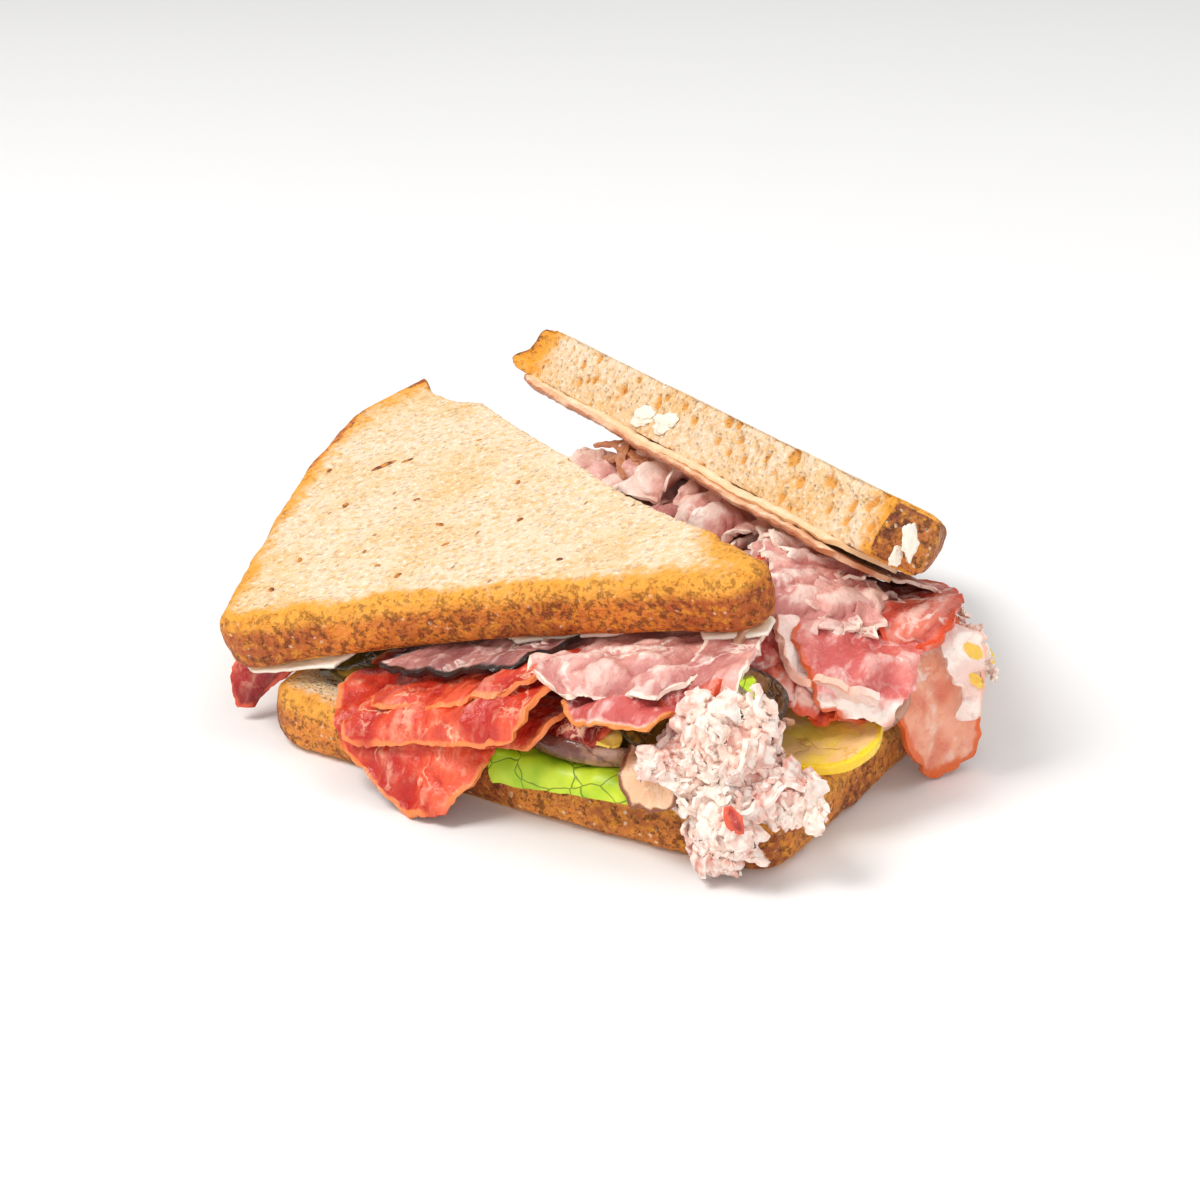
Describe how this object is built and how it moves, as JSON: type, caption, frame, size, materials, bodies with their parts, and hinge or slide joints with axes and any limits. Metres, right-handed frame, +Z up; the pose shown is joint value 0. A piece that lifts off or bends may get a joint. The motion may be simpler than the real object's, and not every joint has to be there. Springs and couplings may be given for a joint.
{
  "type": "club sandwich",
  "caption": "Club sandwich cut on the diagonal: tilted bread slices over folded cured meats, shredded chicken, leaf, onion and pickles.",
  "frame": {"origin": "middle of the whole sandwich's bounding box, at the table's height", "axes": "+Z up; +X along the bottom bread's front crust, from its left corner to its front corner; +Y along the bottom bread's left crust, away from the front"},
  "size_m": [0.1924, 0.176, 0.0668],
  "materials": {
    "beef": "moist cooked meat with a fine grain",
    "bread": "toasted crust round a pale open crumb",
    "cheese": "smooth and waxy",
    "chicken": "torn, fibrous and moist",
    "ham": "moist cooked meat with pale fat",
    "lettuce": "crisp, veined and slightly waxy",
    "mayonnaise": "thick, soft and slightly shiny",
    "onion": "soft, translucent and moist",
    "pepper": "moist and shiny",
    "pickle": "moist and shiny",
    "salami": "fatty, marbled and slightly shiny",
    "turkey": "dry cooked meat"
  },
  "bodies": {
    "root": {"bacon": "ham", "beef_dark_edge": "beef", "beef_far": "beef", "beef_flap": "beef", "beef_left_tip": "salami", "beef_low_far": "beef", "beef_low_near": "beef", "beef_middle": "beef", "beef_near": "beef", "beef_right": "beef", "beef_wide": "beef", "bread_bottom_left": "bread", "bread_bottom_right": "bread", "bread_top_left": "bread", "bread_top_right": "bread", "cheese_slice": "cheese", "chicken_front": "chicken", "chicken_side": "chicken", "ham_far": "ham", "ham_fold": "ham", "ham_hanging": "ham", "ham_middle": "ham", "ham_near": "ham", "leaf_left": "pickle", "lettuce": "lettuce", "mayonnaise": "mayonnaise", "onion_front": "onion", "onion_gap": "onion", "onion_right": "onion", "pastrami_end": "salami", "pastrami_front": "beef", "pepper_far": "pepper", "pepper_large": "pepper", "pickle_front": "pickle", "pickle_gap": "pickle", "pickle_small": "pickle", "salami_dark": "salami", "salami_drape": "salami", "salami_inner": "salami", "salami_middle": "salami", "salami_upper": "salami", "turkey_piece": "turkey", "turkey_slice": "turkey"}
  },
  "joints": []
}
